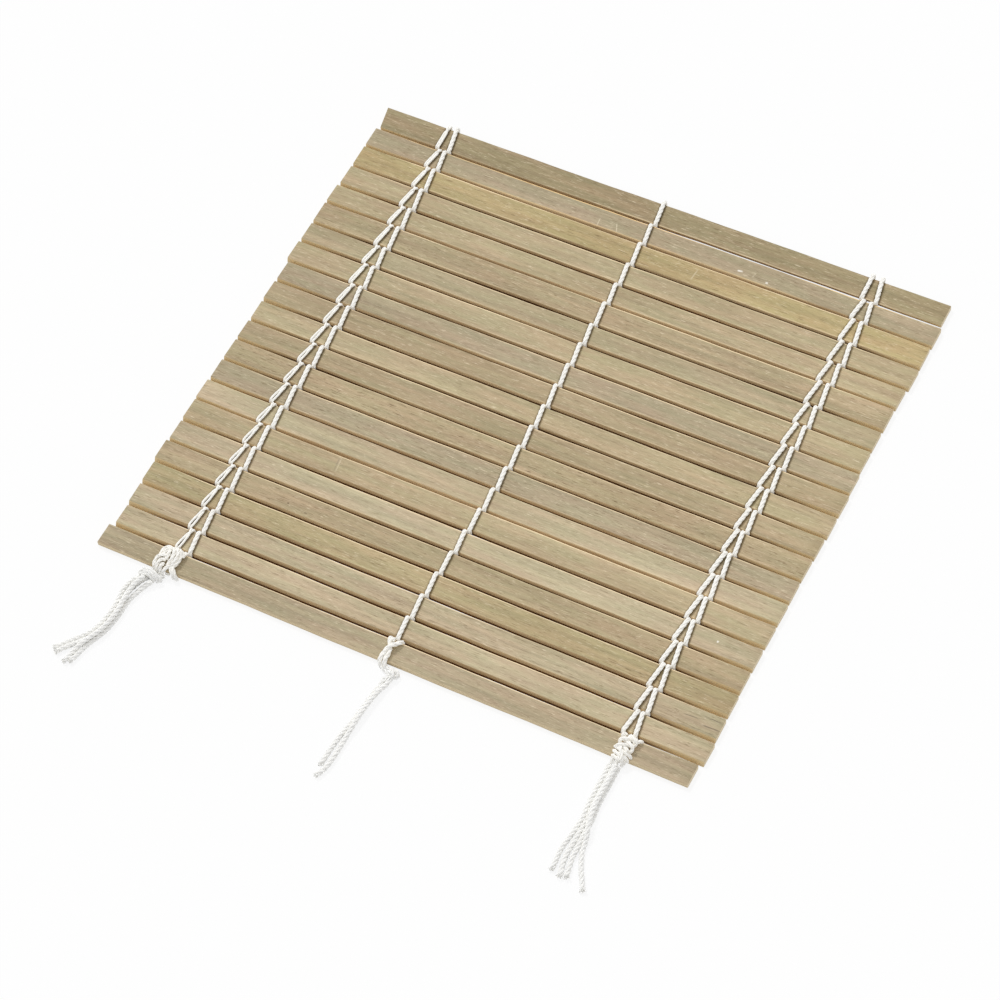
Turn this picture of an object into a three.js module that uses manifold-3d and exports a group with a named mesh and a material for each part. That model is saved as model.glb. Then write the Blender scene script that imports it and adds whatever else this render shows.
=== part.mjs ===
// Bamboo rolling mat: flat bamboo slats lashed side by side by five cotton strings.
// Millimetres, +Z up. +X runs along the slats, +Y points to the far slat and z = 0 is the table.
import * as THREE from "three";
import { mergeVertices } from "three/addons/utils/BufferGeometryUtils.js";
import Module from "manifold-3d";

// Slats, listed from the far one to the front one. A change is how much a slat is wider than slatWidth, and a trim
// how much an end falls short of slatLength.
const slatLength = 240;
const slatThickness = 2.2;
const slatWidth = 8.5;
const widthChanges = [
  1.3, -0.4, 0.6, 0.2, -0.4, 0.9, -0.5, 0.3, 0.1, 0.1, 0,
  -0.3, 0.3, 0.1, -0.2, 0.3, 0, 0, 0.3, 0.2, -0.1, 0,
];
const leftTrims = [
  0, 0.7, 0.8, 0.8, 0.2, 0.2, 0.3, 0, 1.2, 1, 1.2,
  1, 1, 1, 0.6, 0.8, 1, 0.4, 1.2, 1.5, 2, 0.2,
];
const rightTrims = [
  -0.4, -1.2, -1, -1.2, -0.4, -0.1, 0, 0, -0.4, -0.8, -0.8,
  -0.4, -0.1, -0.1, -0.2, -0.2, -0.1, 0, -0.3, -0.5, -1, 0.5,
];
const farSlatSlant = 1.9; // the far slat's left end is cut askew by this much

// Strings: a soft oval section on top of the slats, pressed flat in a shallow seat below them
const stringWidth = 1.5;
const stringThickness = 0.95;
const pressedThickness = 0.5;
const clearance = 0.3;
const seatClearance = 0.2;
const pairOffset = 1.4; // a paired string's distance from the middle of its line

// Lashing lines: how far each one lies from the slat ends or from the middle, at the far and the near edge
const leftInset = { far: 30.4, near: 31.7 };
const middleOffset = { far: 2.1, near: -0.6, bow: 2.2 };
const rightInset = { far: 28.8, near: 27.8 };

// Knots over the front slat: across is along the slat, shift is measured from the lashing line
const knotSizes = {
  left: { across: 9.4, height: 2.9, shift: -2.2 },
  middle: { across: 4.8, height: 2.2, shift: 0.6 },
  right: { across: 8.4, height: 2.6, shift: 2.1 },
};
const knotSetback = 0.6; // from the front slat's far edge to the back of a knot
const knotLip = 2; // the turn of a knot that hangs over the front edge
const knotRound = 0.4;
const knotCurveSteps = 4;

// Wraps of string on the tails, in front of a knot, by half sizes
const wrapSizes = {
  left: { across: 4.6, deep: 1.9, high: 2, shift: -6 },
  middle: { across: 3.8, deep: 1.4, high: 1.4, shift: 4.6 },
};
const wrapSides = 12;
const wrapRings = 8;

// Tails: hand-laid routes, each point measured from where its lashing line meets the front edge.
// A point with no height lies on the table.
const tailDiameter = 1.6;
const tailSides = 8;
const tailFloorGap = 0.05;
const tailRoutes = {
  left: [
    [
      [-9.3, -6.8, 1.8], [-11.2, -8.7, 1.2], [-12.3, -11.1], [-12.6, -13.9], [-12.3, -16.9],
      [-12, -19.9], [-11.9, -22.9], [-12.1, -25.9], [-12.5, -28.9], [-13.3, -31.9],
      [-14.7, -34.8], [-16.8, -37.6], [-18.9, -40.3], [-20.8, -42.9], [-22.5, -45.4],
    ],
    [
      [-7.4, -6.8, 1.8], [-8.8, -8.9, 1.2], [-9.8, -11.3], [-10.4, -13.9], [-10.5, -16.9],
      [-10.25, -19.9], [-10.15, -22.9], [-10.35, -25.9], [-10.75, -28.9], [-11.5, -32.2],
      [-13, -35.7], [-15.2, -38.7], [-17.3, -41.5], [-19.2, -44.2], [-21, -46.7],
    ],
    [
      [-4.3, -6.8, 1.8], [-5.7, -8.9, 1.2], [-6.8, -11.3], [-7.6, -13.9], [-8.3, -16.9],
      [-8.5, -19.9], [-8.4, -22.9], [-8.6, -25.9], [-9, -28.9], [-9.65, -32],
      [-10.85, -35.2], [-12.3, -38.5], [-13.4, -41.7], [-14.2, -44.7], [-15, -47.6],
    ],
    [
      [-7.3, -6.8, 3.7], [-8.6, -9, 3], [-9.4, -11.3, 2.7], [-9.6, -13.9, 2.6], [-9.5, -16.9, 2.55],
      [-9.4, -19.9, 2.4], [-9.3, -22.9, 2.35], [-9.5, -25.9, 2.35], [-9.9, -28.9, 2.35], [-10.6, -32, 2.35],
      [-11.9, -35.2, 2.35], [-13.6, -38.5, 2.25], [-15.2, -41.5, 1.7], [-16.3, -44.2, 1], [-17.3, -48],
    ],
  ],
  middle: [
    [
      [4.4, -5.8, 1.3], [4.2, -8, 0.9], [3.8, -10.6], [3.4, -13.8], [3.05, -17],
      [2.75, -20.1], [2.5, -23.2], [2.25, -26.1], [1.8, -28.9], [1.3, -31.7],
      [0.95, -34.5], [0.75, -37.3], [0.6, -40.1], [0.5, -42.9], [0.35, -45.4],
    ],
    [
      [6.3, -5.8, 1.3], [6, -8, 1.1], [5.3, -10.6, 1.6], [4.7, -13.8, 1.95], [4.25, -17, 2.05],
      [3.95, -20.1, 2.05], [3.75, -23.2, 2], [3.6, -26.1, 1.85], [3.45, -28.9, 1.5], [3.35, -31.9, 1.1],
      [3.3, -35.1], [3.3, -38.4], [3.2, -41.6], [2.9, -44.8], [2.1, -47.7],
      [1, -50.1],
    ],
  ],
  right: [
    [
      [-0.92, -2.7, 1], [-1.05, -5.4], [-0.85, -8.5], [-0.85, -11.7], [-0.85, -14.9],
      [-0.8, -18.1], [-0.5, -21.3], [-0.1, -24.5], [-0.2, -27.7], [-0.5, -30.6],
      [-0.8, -33.6], [-1.2, -36.8], [-1.35, -40], [-1.05, -43.3], [-0.7, -46.9],
    ],
    [
      [2.52, -2.7, 1], [2.4, -5.4], [2.55, -8.5], [2.55, -11.7], [2.55, -14.9],
      [2.6, -18.1], [2.9, -21.3], [3.3, -24.5], [3.22, -27.7], [3.2, -30.6],
      [3.3, -33.6], [3.55, -36.8], [3.6, -40], [4.2, -43.3], [4.7, -45.6],
      [5.1, -47.5],
    ],
    [
      [0.8, -2.7, 1], [0.66, -5.4], [0.85, -8.5], [0.85, -11.7], [0.85, -14.9],
      [0.9, -18.1], [1.2, -21.3], [1.6, -24.5], [1.5, -27.7], [1.4, -30.6],
      [1.4, -33.6], [1.3, -36.8], [1.3, -40], [1.7, -43.3], [2.5, -46.4],
      [2.8, -48.2],
    ],
    [
      [1.75, -2.7, 2.55], [1.7, -5.4, 2.4], [1.7, -8.5, 2.35], [1.7, -11.7, 2.35], [1.7, -14.9, 2.35],
      [1.75, -18.1, 2.35], [2.1, -21.3, 2.4], [2.7, -24.5, 2.45], [3.5, -27.7, 2.5], [4.5, -30.6, 2],
      [5.1, -33.6, 1], [5.7, -36.8], [7, -40], [8.6, -43.3], [10.5, -46.5],
      [12.4, -49.7],
    ],
  ],
};

// Worked out from the sizes above
const slatGap = stringThickness + 2 * clearance; // a string stands in the gap with a clearance on each side
const crossShift = stringWidth + clearance; // the two legs of a string pass each other side by side
const seatDepth = pressedThickness + seatClearance;
const slatWidths = widthChanges.map((change) => slatWidth + change);
const slatCount = slatWidths.length;
const frontSlat = slatCount - 1;
const matDepth = slatWidths.reduce((sum, width) => sum + width, 0) + frontSlat * slatGap;
const farEdges = [];
const nearEdges = [];
slatWidths.reduce((edge, width) => {
  farEdges.push(edge);
  nearEdges.push(edge - width);
  return edge - width - slatGap;
}, matDepth / 2);
const bends = [...farEdges.map((edge) => edge + slatGap / 2), nearEdges[frontSlat] - slatGap / 2];
const frontEdge = nearEdges[frontSlat];
const knotFace = frontEdge - clearance - knotLip;
const tailRest = tailDiameter / 2 + tailFloorGap;

const lines = {
  left: { far: leftInset.far - slatLength / 2, near: leftInset.near - slatLength / 2, bow: 0 },
  middle: middleOffset,
  right: { far: slatLength / 2 - rightInset.far, near: slatLength / 2 - rightInset.near, bow: 0 },
};

// way is the side to which a string's passes over the slats lean on their way to the front
const strings = [
  { name: "string_left_outer", line: lines.left, start: -pairOffset, way: -1 },
  { name: "string_left_inner", line: lines.left, start: pairOffset, way: 1 },
  { name: "string_middle", line: lines.middle, start: -crossShift / 2, way: 1 },
  { name: "string_right_inner", line: lines.right, start: -pairOffset, way: -1 },
  { name: "string_right_outer", line: lines.right, start: pairOffset, way: 1 },
];

const finishes = {
  slat: { color: "#b8a785", roughness: 0.7, metalness: 0 },
  farSlat: { color: "#94805a", roughness: 0.7, metalness: 0 },
  string: { color: "#e6e0d2", roughness: 0.9, metalness: 0 },
};

const wasm = await Module();
wasm.setup();
const mat = new THREE.Group();

function addPiece(name, geometry, finish) {
  const piece = new THREE.Mesh(geometry, new THREE.MeshStandardMaterial(finish));
  piece.name = name;
  mat.add(piece);
  return piece;
}

function toSolid(geometry) {
  const bare = geometry.clone();
  bare.deleteAttribute("normal");
  bare.deleteAttribute("uv");
  const merged = mergeVertices(bare);
  const vertProperties = merged.attributes.position.array;
  const triVerts = new Uint32Array(merged.index.array);
  return new wasm.Manifold(new wasm.Mesh({ numProp: 3, vertProperties, triVerts }));
}

function toGeometry(solid) {
  const mesh = solid.getMesh();
  const geometry = new THREE.BufferGeometry();
  geometry.setAttribute("position", new THREE.BufferAttribute(mesh.vertProperties, 3));
  geometry.setIndex(new THREE.BufferAttribute(mesh.triVerts, 1));
  return geometry;
}

// An upright block with the given plan
function prism(corners, bottom, top) {
  const plan = new THREE.Shape(corners.map(([x, y]) => new THREE.Vector2(x, y)));
  const block = new THREE.ExtrudeGeometry(plan, { depth: top - bottom, bevelEnabled: false });
  return block.translate(0, 0, bottom);
}

// Where a string stands in the gap at y: its rising leg, and its diving leg beside it
function lineAt(line, y) {
  const share = 0.5 - y / matDepth;
  return THREE.MathUtils.lerp(line.far, line.near, share) + line.bow * Math.sin(Math.PI * share);
}

function riseAt(string, y) {
  return lineAt(string.line, y) + string.start;
}

function diveAt(string, y) {
  return riseAt(string, y) + string.way * crossShift;
}

// A slat is a flat strip with one slanted seat below for each string
function seatCut(string, index) {
  const half = stringWidth / 2 + clearance;
  const [far, near] = [bends[index], bends[index + 1]];
  const [farX, nearX] = [diveAt(string, far), riseAt(string, near)];
  const corners = [
    [farX - half, far],
    [nearX - half, near],
    [nearX + half, near],
    [farX + half, far],
  ];
  return prism(corners, -seatDepth, seatDepth);
}

function slatGeometry(index) {
  const left = leftTrims[index] - slatLength / 2;
  const right = slatLength / 2 - rightTrims[index];
  const slant = index === 0 ? farSlatSlant : 0;
  const corners = [
    [left, farEdges[index]],
    [left + slant, nearEdges[index]],
    [right, nearEdges[index]],
    [right, farEdges[index]],
  ];
  let slat = toSolid(prism(corners, 0, slatThickness));
  for (const string of strings) {
    slat = slat.subtract(toSolid(seatCut(string, index)));
  }
  return toGeometry(slat);
}

// A path of straight runs with mitred turns, whose section keeps its width along X
class LashingRoute extends THREE.Curve {
  constructor(points) {
    super();
    this.points = points;
  }

  getPoint(t, target = new THREE.Vector3()) {
    const place = t * (this.points.length - 1);
    const index = Math.min(Math.floor(place), this.points.length - 2);
    return target.lerpVectors(this.points[index], this.points[index + 1], place - index);
  }

  getSpacedPoints() {
    return this.points;
  }

  computeFrenetFrames() {
    const tangents = this.points.slice(1).map((point, index) => point.clone().sub(this.points[index]));
    const across = tangents.map((run) => new THREE.Vector3(0, run.z, -run.y).normalize());
    const normals = this.points.map(() => new THREE.Vector3(1, 0, 0));
    const binormals = this.points.map((point, index) => {
      const before = across[Math.max(index - 1, 0)];
      const after = across[Math.min(index, across.length - 1)];
      return before.clone().add(after).divideScalar(1 + before.dot(after));
    });
    return { tangents, normals, binormals };
  }
}

// One leg of a string from the far edge to the front edge, over and under the slats by turns
function legPoints(string, startsOver) {
  const upper = slatThickness + clearance + stringThickness / 2;
  const lower = stringThickness / 2;
  return slatWidths.flatMap((width, index) => {
    const over = (index % 2 === 0) === startsOver;
    const [far, near] = [bends[index], bends[index + 1]];
    const height = over ? upper : lower;
    const farX = over ? riseAt(string, far) : diveAt(string, far);
    const nearX = over ? diveAt(string, near) : riseAt(string, near);
    return [new THREE.Vector3(farX, far, height), new THREE.Vector3(nearX, near, height)];
  });
}

function endAt(points, y) {
  const [before, last] = points.slice(-2);
  last.lerpVectors(before, last, (y - before.y) / (last.y - before.y));
  return points;
}

function ovalSection(width, thickness) {
  const section = new THREE.Shape();
  section.moveTo(width / 2, 0);
  section.lineTo(width / 4, thickness / 2);
  section.lineTo(-width / 4, thickness / 2);
  section.lineTo(-width / 2, 0);
  section.lineTo(-width / 4, -thickness / 2);
  section.lineTo(width / 4, -thickness / 2);
  return section;
}

// The whole lashing: one leg up to the far edge, round it, and the other leg back to the knot
function stringGeometry(string) {
  const overFirst = legPoints(string, true);
  const underFirst = legPoints(string, false);
  const overEndsOnTop = frontSlat % 2 === 0;
  const knotBack = farEdges[frontSlat] - knotSetback;
  endAt(overFirst, overEndsOnTop ? knotBack + clearance : frontEdge);
  endAt(underFirst, overEndsOnTop ? frontEdge : knotBack + clearance);
  const route = new LashingRoute([...overFirst.reverse(), ...underFirst]);
  const section = ovalSection(stringWidth, stringThickness);
  const steps = route.points.length - 1;
  const tube = new THREE.ExtrudeGeometry(section, { steps, extrudePath: route });
  const position = tube.attributes.position;
  for (let i = 0; i < position.count; i += 1) {
    const z = position.getZ(i);
    if (z < slatThickness / 2) {
      position.setZ(i, (z * pressedThickness) / stringThickness);
    }
  }
  return tube;
}

// A knot sits on the front slat and turns down over its front edge to the table
function knotGeometry(size) {
  const back = farEdges[frontSlat] - knotSetback;
  const seat = slatThickness + clearance;
  const top = seat + size.height;
  const middle = (back + knotFace) / 2;
  const profile = new THREE.Shape();
  profile.moveTo(back, seat);
  profile.lineTo(frontEdge - clearance, seat);
  profile.lineTo(frontEdge - clearance, 0);
  profile.lineTo(knotFace, 0);
  profile.lineTo(knotFace, seat);
  profile.quadraticCurveTo(knotFace, top, middle, top);
  profile.quadraticCurveTo(back, top, back, seat);
  const knot = new THREE.ExtrudeGeometry(profile, {
    depth: size.across - 2 * knotRound,
    curveSegments: knotCurveSteps,
    bevelThickness: knotRound,
    bevelSize: knotRound,
    bevelOffset: -knotRound,
    bevelSegments: 1,
  });
  knot.translate(0, 0, knotRound - size.across / 2);
  const alongSlat = new THREE.Matrix4().makeBasis(
    new THREE.Vector3(0, 1, 0),
    new THREE.Vector3(0, 0, 1),
    new THREE.Vector3(1, 0, 0),
  );
  return knot.applyMatrix4(alongSlat);
}

function tailGeometry(points) {
  const places = points.map(([x, y, z = tailRest]) => new THREE.Vector3(x, y, z));
  const route = new THREE.CatmullRomCurve3(places);
  const section = new THREE.Shape();
  for (let side = 0; side < tailSides; side += 1) {
    const angle = (2 * Math.PI * side) / tailSides;
    const corner = [Math.cos(angle), Math.sin(angle)].map((part) => (part * tailDiameter) / 2);
    section[side === 0 ? "moveTo" : "lineTo"](...corner);
  }
  return new THREE.ExtrudeGeometry(section, { steps: points.length - 1, extrudePath: route });
}

slatWidths.forEach((width, index) => {
  const name = `slat_${String(index + 1).padStart(2, "0")}`;
  addPiece(name, slatGeometry(index), index === 0 ? finishes.farSlat : finishes.slat);
});

for (const string of strings) {
  addPiece(string.name, stringGeometry(string), finishes.string);
}

for (const [side, size] of Object.entries(knotSizes)) {
  const knot = addPiece(`knot_${side}`, knotGeometry(size), finishes.string);
  knot.position.x = lines[side].near + size.shift;
}

for (const [side, size] of Object.entries(wrapSizes)) {
  const ball = new THREE.SphereGeometry(1, wrapSides, wrapRings);
  const wrap = addPiece(`tail_knot_${side}`, ball.scale(size.across, size.deep, size.high), finishes.string);
  wrap.position.set(lines[side].near + size.shift, knotFace - clearance - size.deep, size.high);
}

for (const [side, routes] of Object.entries(tailRoutes)) {
  routes.forEach((points, index) => {
    const tail = addPiece(`tail_${side}_${index + 1}`, tailGeometry(points), finishes.string);
    tail.position.set(lines[side].near, frontEdge, 0);
  });
}

export default mat;
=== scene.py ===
import math
import random

import bpy
from mathutils import Matrix, Vector


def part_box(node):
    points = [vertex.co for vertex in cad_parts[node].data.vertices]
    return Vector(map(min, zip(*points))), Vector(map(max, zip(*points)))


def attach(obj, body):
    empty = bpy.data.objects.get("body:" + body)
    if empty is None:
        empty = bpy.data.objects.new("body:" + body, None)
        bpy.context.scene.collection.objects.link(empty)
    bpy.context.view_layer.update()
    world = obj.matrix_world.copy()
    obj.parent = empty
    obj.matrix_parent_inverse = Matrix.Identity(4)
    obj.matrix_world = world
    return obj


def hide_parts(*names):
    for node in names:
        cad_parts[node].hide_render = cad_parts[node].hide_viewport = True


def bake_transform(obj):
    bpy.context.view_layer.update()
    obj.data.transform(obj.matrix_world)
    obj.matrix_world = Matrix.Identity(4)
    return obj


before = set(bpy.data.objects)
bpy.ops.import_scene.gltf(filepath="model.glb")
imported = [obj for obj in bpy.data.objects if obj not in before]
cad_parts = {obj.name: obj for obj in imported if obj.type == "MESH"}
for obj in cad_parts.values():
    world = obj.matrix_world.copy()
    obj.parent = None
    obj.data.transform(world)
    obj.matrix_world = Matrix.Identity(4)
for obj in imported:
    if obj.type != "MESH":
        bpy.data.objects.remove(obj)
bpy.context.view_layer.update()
mm = 0.001
slatCount = 22
slatNames = [f"slat_{number:02d}" for number in range(1, slatCount + 1)]
slatBoxes = [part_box(name) for name in slatNames]
seeds = {"tails": 10, "knots": 50, "wrap": 60, "slats": 200, "grain": 300}
phases = (0, 6)


# Small helpers


def stageNote(text):
    print(text, flush=True)


def only(obj):
    bpy.ops.object.select_all(action="DESELECT")
    obj.select_set(True)
    bpy.context.view_layer.objects.active = obj


def linear(red, green, blue):
    shares = [part / 255 for part in (red, green, blue)]
    return [s / 12.92 if s <= 0.04045 else ((s + 0.055) / 1.055) ** 2.4 for s in shares] + [1]


def scaled(colour, share):
    return [min(part * share, 1) for part in colour[:3]] + [1]


def smooth(low, high, value):
    share = min(max((value - low) / (high - low), 0), 1)
    return share * share * (3 - 2 * share)


def lerp(a, b, share):
    return a + (b - a) * share


# Camera, as the photo was taken
cameraLook = {
    "azimuth": 35.46,
    "elevation": 56.96,
    "roll": -9.16,
    "lens": 118.7,
    "sensor": 36,
    "place": (386.2, -567.5, 1008.5),
}


def makeCamera(look):
    turn = math.radians(look["azimuth"])
    rise = math.radians(look["elevation"])
    roll = math.radians(look["roll"])
    right = Vector((math.cos(turn), math.sin(turn), 0))
    ahead = Vector((-math.sin(turn) * math.cos(rise), math.cos(turn) * math.cos(rise), -math.sin(rise)))
    up = right.cross(ahead)
    rolledRight = math.cos(roll) * right + math.sin(roll) * up
    rolledUp = math.cos(roll) * up - math.sin(roll) * right
    data = bpy.data.cameras.new("camera")
    data.sensor_width = look["sensor"]
    data.lens = look["lens"]
    data.clip_start = 0.05
    data.clip_end = 20
    camera = bpy.data.objects.new("camera", data)
    bpy.context.scene.collection.objects.link(camera)
    axes = Matrix((rolledRight, rolledUp, -ahead)).transposed().to_4x4()
    camera.matrix_world = Matrix.Translation(Vector(look["place"]) * mm) @ axes
    bpy.context.scene.camera = camera


makeCamera(cameraLook)
stageNote("camera placed")


# Materials are node trees on Object coordinates


def newMaterial(name):
    material = bpy.data.materials.new(name)
    material.use_nodes = True
    tree = material.node_tree
    shader = tree.nodes["Principled BSDF"]
    return material, tree, shader


def addNode(tree, kind, **settings):
    node = tree.nodes.new(kind)
    for key, value in settings.items():
        setattr(node, key, value)
    return node


def setInputs(node, settings):
    for name, value in settings.items():
        node.inputs[name].default_value = value


def noise(tree, coords, scale, offset, detail, roughness):
    mapping = addNode(tree, "ShaderNodeMapping")
    setInputs(mapping, {"Location": offset, "Scale": scale})
    texture = addNode(tree, "ShaderNodeTexNoise")
    setInputs(texture, {"Scale": 1, "Detail": detail, "Roughness": roughness})
    tree.links.new(coords, mapping.inputs["Vector"])
    tree.links.new(mapping.outputs["Vector"], texture.inputs["Vector"])
    return texture.outputs["Fac"]


def ramp(tree, value, stops):
    node = addNode(tree, "ShaderNodeValToRGB")
    elements = node.color_ramp.elements
    while len(elements) < len(stops):
        elements.new(0.5)
    for element, (place, colour) in zip(elements, stops):
        element.position = place
        element.color = colour
    tree.links.new(value, node.inputs["Fac"])
    return node.outputs["Color"]


def mask(tree, value, low, high, top=1.0):
    node = addNode(tree, "ShaderNodeMapRange", interpolation_type="SMOOTHSTEP")
    setInputs(node, {"From Min": low, "From Max": high, "To Max": top})
    tree.links.new(value, node.inputs["Value"])
    return node.outputs["Result"]


def math2(tree, operation, first, second):
    node = addNode(tree, "ShaderNodeMath", operation=operation)
    for socket, value in zip(node.inputs, (first, second)):
        if isinstance(value, (int, float)):
            socket.default_value = value
        else:
            tree.links.new(value, socket)
    return node.outputs["Value"]


def mixColour(tree, share, first, second, blend="MIX"):
    node = addNode(tree, "ShaderNodeMix", data_type="RGBA", blend_type=blend)
    pairs = ((node.inputs[0], share), (node.inputs[6], first), (node.inputs[7], second))
    for socket, value in pairs:
        if isinstance(value, (int, float, list)):
            socket.default_value = value
        else:
            tree.links.new(value, socket)
    return node.outputs[2]


def absolute(tree, value):
    return math2(tree, "ABSOLUTE", value, 0)


def inverse(tree, share):
    return math2(tree, "SUBTRACT", 1, share)


def partsOf(tree, vector):
    node = addNode(tree, "ShaderNodeSeparateXYZ")
    tree.links.new(vector, node.inputs["Vector"])
    return node.outputs


def addBump(tree, shader, height, strength):
    bump = addNode(tree, "ShaderNodeBump")
    setInputs(bump, {"Strength": strength, "Distance": bumpDepth})
    tree.links.new(height, bump.inputs["Height"])
    tree.links.new(bump.outputs["Normal"], shader.inputs["Normal"])


bumpDepth = 0.1 * mm
cottonLook = {
    "colour": linear(255, 253, 247),
    "shade": linear(249, 245, 236),
    "tailColour": linear(255, 254, 250),
    "tailShade": linear(248, 247, 243),
    "tailsFrom": (-114.5, -111.5),
    "mottle": 900,
    "mottleStops": (0.3, 0.6),
    "fuzz": 6500,
    "bump": 0.15,
    # painted glow: the strings on the mat give off a little light of their own, which lifts their shading
    "paintedGlow": 0.05,
    "shader": {
        "Roughness": 0.95,
        "Specular IOR Level": 0.15,
        "Subsurface Weight": 0.35,
        "Subsurface Radius": (1, 0.98, 0.95),
        "Subsurface Scale": 0.8 * mm,
        # the colour of the painted glow
        "Emission Color": linear(255, 253, 247),
    },
}


def makeCotton(look):
    material, tree, shader = newMaterial("cotton_string")
    coords = addNode(tree, "ShaderNodeTexCoord").outputs["Object"]
    mottle = noise(tree, coords, [look["mottle"]] * 3, (0, 0, 0), 4, 0.6)
    fuzz = noise(tree, coords, [look["fuzz"]] * 3, (3, 1, 2), 3, 0.7)
    onMat = mask(tree, partsOf(tree, coords)["Y"], *[y * mm for y in look["tailsFrom"]])
    low, high = look["mottleStops"]
    tint = ramp(tree, mottle, [(low, look["shade"]), (high, look["colour"])])
    tailTint = ramp(tree, mottle, [(low, look["tailShade"]), (high, look["tailColour"])])
    tint = mixColour(tree, onMat, tailTint, tint)  # the free ends are a little cooler
    tree.links.new(tint, shader.inputs["Base Color"])
    # painted glow on the strings on the mat; the free ends don't glow
    paintedGlow = math2(tree, "MULTIPLY", onMat, look["paintedGlow"])
    tree.links.new(paintedGlow, shader.inputs["Emission Strength"])
    setInputs(shader, look["shader"])
    addBump(tree, shader, fuzz, look["bump"])
    return material


cotton = makeCotton(cottonLook)
stageNote("cotton made")


# Rope: three plies laid round each other, swept along a smooth path


def catmull(points, spacing):
    places = [Vector(p) for p in points]
    ends = [2 * places[0] - places[1], *places, 2 * places[-1] - places[-2]]
    fine = []
    for before, a, b, after in zip(ends, ends[1:], ends[2:], ends[3:]):
        parts = max(int((b - a).length / (0.25 * spacing)), 2)
        for step in range(parts):
            t = step / parts
            square = 2 * before - 5 * a + 4 * b - after
            cube = 3 * a - before - 3 * b + after
            fine.append(0.5 * (2 * a + (b - before) * t + square * t * t + cube * t * t * t))
    fine.append(places[-1])
    return evenly(fine, spacing)


def lengthOf(points):
    return sum((b - a).length for a, b in zip(points, points[1:]))


def evenly(points, spacing):
    total = lengthOf(points)
    count = max(int(round(total / spacing)), 2)
    gap = total / count
    result = [points[0].copy()]
    along = 0
    for a, b in zip(points, points[1:]):
        run = (b - a).length
        while len(result) < count and along + run >= gap * len(result) - 1e-9:
            result.append(a.lerp(b, (gap * len(result) - along) / run))
        along += run
    result.append(points[-1].copy())
    return result


def tangents(points):
    last = len(points) - 1
    return [(points[min(i + 1, last)] - points[max(i - 1, 0)]).normalized() for i in range(last + 1)]


def carriedSides(points):
    ways = tangents(points)
    side = ways[0].cross(Vector((0, 0, 1)))
    if side.length < 0.1:
        side = ways[0].cross(Vector((0, 1, 0)))
    sides = []
    for way in ways:
        side = (side - way * side.dot(way)).normalized()
        sides.append((side, way.cross(side)))
    return sides


def acrossSides(points):
    sides = []
    for way in tangents(points):
        side = Vector((1, 0, 0)) - way * way.x
        side.normalize()
        sides.append((side, way.cross(side)))
    return sides


def pliesOf(points, sides, rope, phase=0.0, opening=None, turning=None):
    count = rope.get("plies", 3)
    plies = [[] for ply in range(count)]
    twist = 2 * math.pi / rope.get("pitch", 1)
    along = 0
    total = lengthOf(points)
    for i, point in enumerate(points):
        if i:
            along += (point - points[i - 1]).length
        opened = 1 + rope.get("tuft", 0) * smooth(total - rope.get("loose", 1), total, along)
        if opening:
            opened += opening(point)
        side, normal = sides[i]
        turned = turning(point) if turning else twist * along
        for number, ply in enumerate(plies):
            angle = phase + 2 * math.pi * number / count + turned
            sideways = side * math.cos(angle) * rope["wide"] * opened
            upward = normal * math.sin(angle) * rope["high"]
            ply.append(point + sideways + upward)
    return plies


def sweep(name, lines, radius, ends=None, shares=None):
    data = bpy.data.curves.new(name, "CURVE")
    data.dimensions = "3D"
    data.bevel_depth = radius * mm
    data.bevel_resolution = 2
    data.use_fill_caps = True
    for number, line in enumerate(lines):
        spline = data.splines.new("POLY")
        spline.points.add(len(line) - 1)
        for i, (place, point) in enumerate(zip(spline.points, line)):
            place.co = (*(point * mm), 1)
            place.radius = shares[number] if shares else 1
            if ends:
                place.radius *= ends(i / (len(line) - 1))
    obj = bpy.data.objects.new(name, data)
    bpy.context.scene.collection.objects.link(obj)
    only(obj)
    bpy.ops.object.convert(target="MESH")
    obj = bpy.context.view_layer.objects.active
    obj.name = name
    obj.data.materials.clear()
    obj.data.materials.append(cotton)
    return obj


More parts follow.
